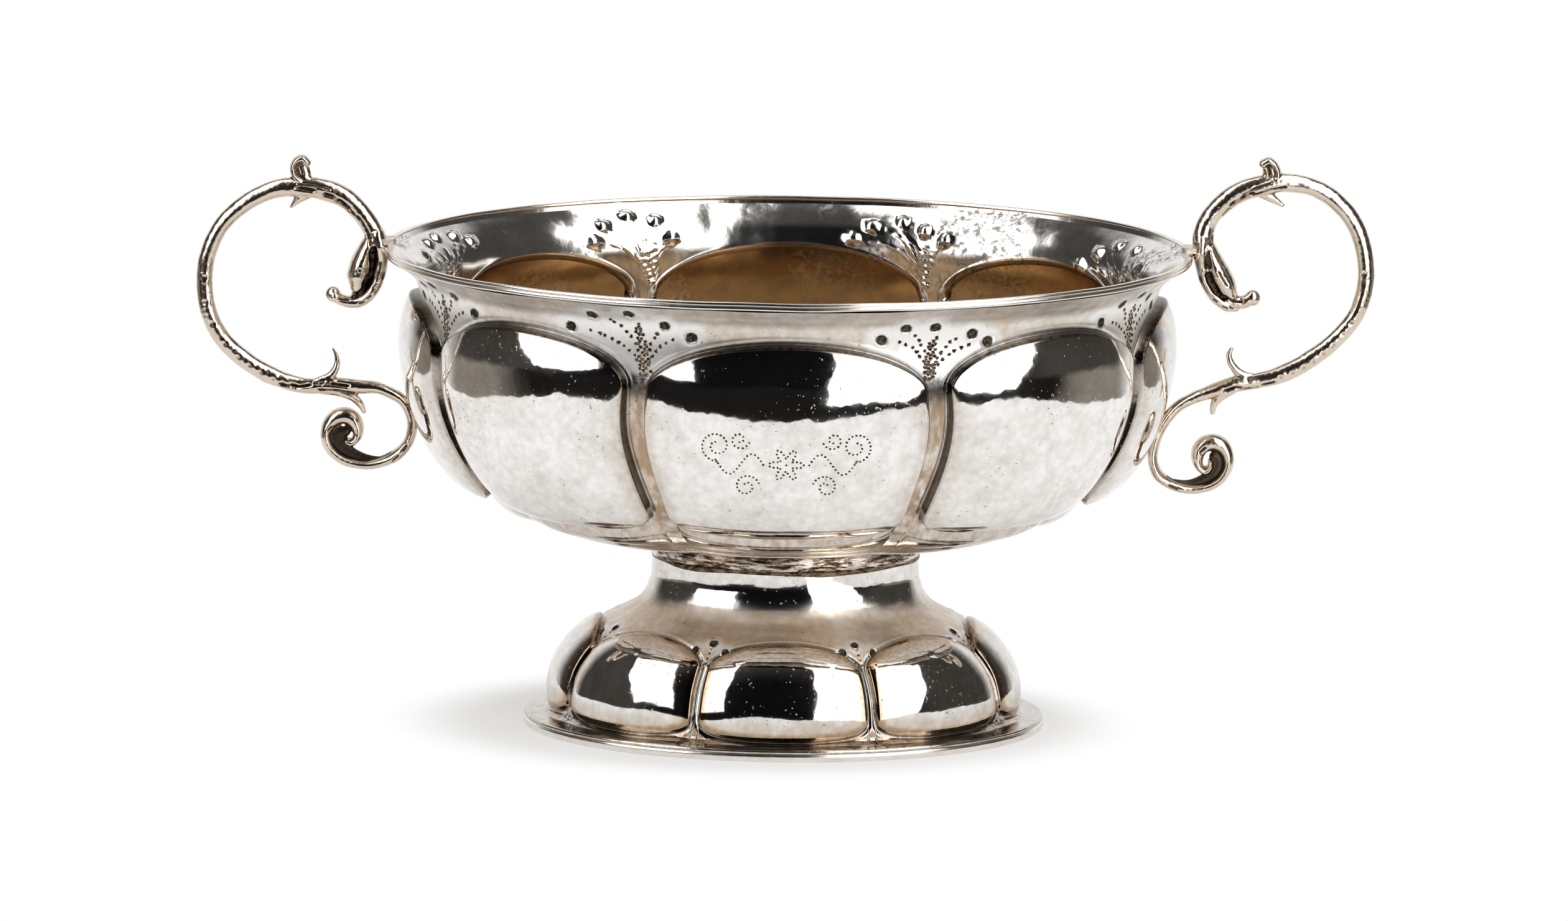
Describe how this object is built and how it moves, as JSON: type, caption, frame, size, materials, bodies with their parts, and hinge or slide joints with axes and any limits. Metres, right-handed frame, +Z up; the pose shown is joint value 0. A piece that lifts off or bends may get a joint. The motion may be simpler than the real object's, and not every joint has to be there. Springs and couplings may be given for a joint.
{
  "type": "brandy bowl",
  "caption": "Oval lobed silver bowl on a spreading lobed foot, with a wired lip and a cast scroll handle at each end, for serving and sharing drink.",
  "frame": {"origin": "on the table plane, under the upright axis of the bowl, half way between the tips of the handles to within a millimetre", "axes": "+X along the length of the oval, through both handles, +Y across the oval away from the pictured side, +Z up"},
  "size_m": [0.2617, 0.1392, 0.1293],
  "materials": {
    "raised_silver": "hammered and planished sheet silver, polished on the lobes, warm brown tarnish on the plain ground and inside",
    "wire_silver": "drawn silver wire and band, worn bright, dark along the solder line",
    "cast_silver": "cast silver with a slightly rough skin, dark tarnish in the hollows and bright worn ridges",
    "solder_silver": "filed silver tongue with a dull grey solder edge"
  },
  "bodies": {
    "root": {"bowl_shell": "raised_silver", "lip_wire": "wire_silver", "collar_ring": "wire_silver", "foot_shell": "raised_silver", "foot_wire": "wire_silver", "handle_left": "cast_silver", "handle_right": "cast_silver", "rim_lug_left": "solder_silver", "rim_lug_right": "solder_silver"}
  },
  "joints": []
}
